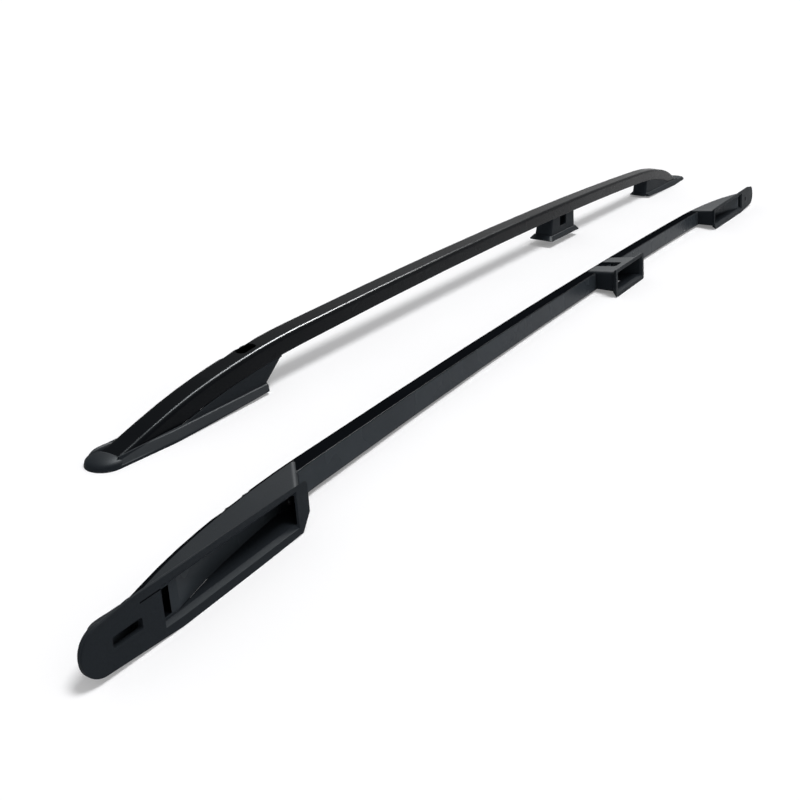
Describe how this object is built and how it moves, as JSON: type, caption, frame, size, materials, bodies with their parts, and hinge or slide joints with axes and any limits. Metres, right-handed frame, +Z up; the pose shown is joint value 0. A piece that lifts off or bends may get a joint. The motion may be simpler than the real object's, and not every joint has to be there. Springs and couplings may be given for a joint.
{
  "type": "roof side rail pair",
  "caption": "Mirrored pair of long arched roof side rails on hollow moulded feet, for clamping cross bars along a van roof.",
  "frame": {"origin": "middle of the floor under the pair, at floor height", "axes": "+X along the rails towards their rear tips, +Z up, the standing rail on the +Y side"},
  "size_m": [2.905, 0.3028, 0.0852],
  "materials": {
    "bar": "satin black powder coat",
    "foot": "fine-grained black moulding",
    "fastener": "zinc plated"
  },
  "bodies": {
    "root": {"upright_bar": "bar", "upright_front_foot": "foot", "upright_middle_foot": "foot", "upright_rear_foot": "foot", "upright_front_screws": "fastener", "upright_middle_screws": "fastener", "upright_rear_screws": "fastener", "upright_front_nut_plate": "fastener", "upright_middle_nut_plate": "fastener", "upright_rear_nut_plate": "fastener", "lying_bar": "bar", "lying_front_foot": "foot", "lying_middle_foot": "foot", "lying_rear_foot": "foot", "lying_front_screws": "fastener", "lying_middle_screws": "fastener", "lying_rear_screws": "fastener", "lying_front_nut_plate": "fastener", "lying_middle_nut_plate": "fastener", "lying_rear_nut_plate": "fastener"}
  },
  "joints": []
}
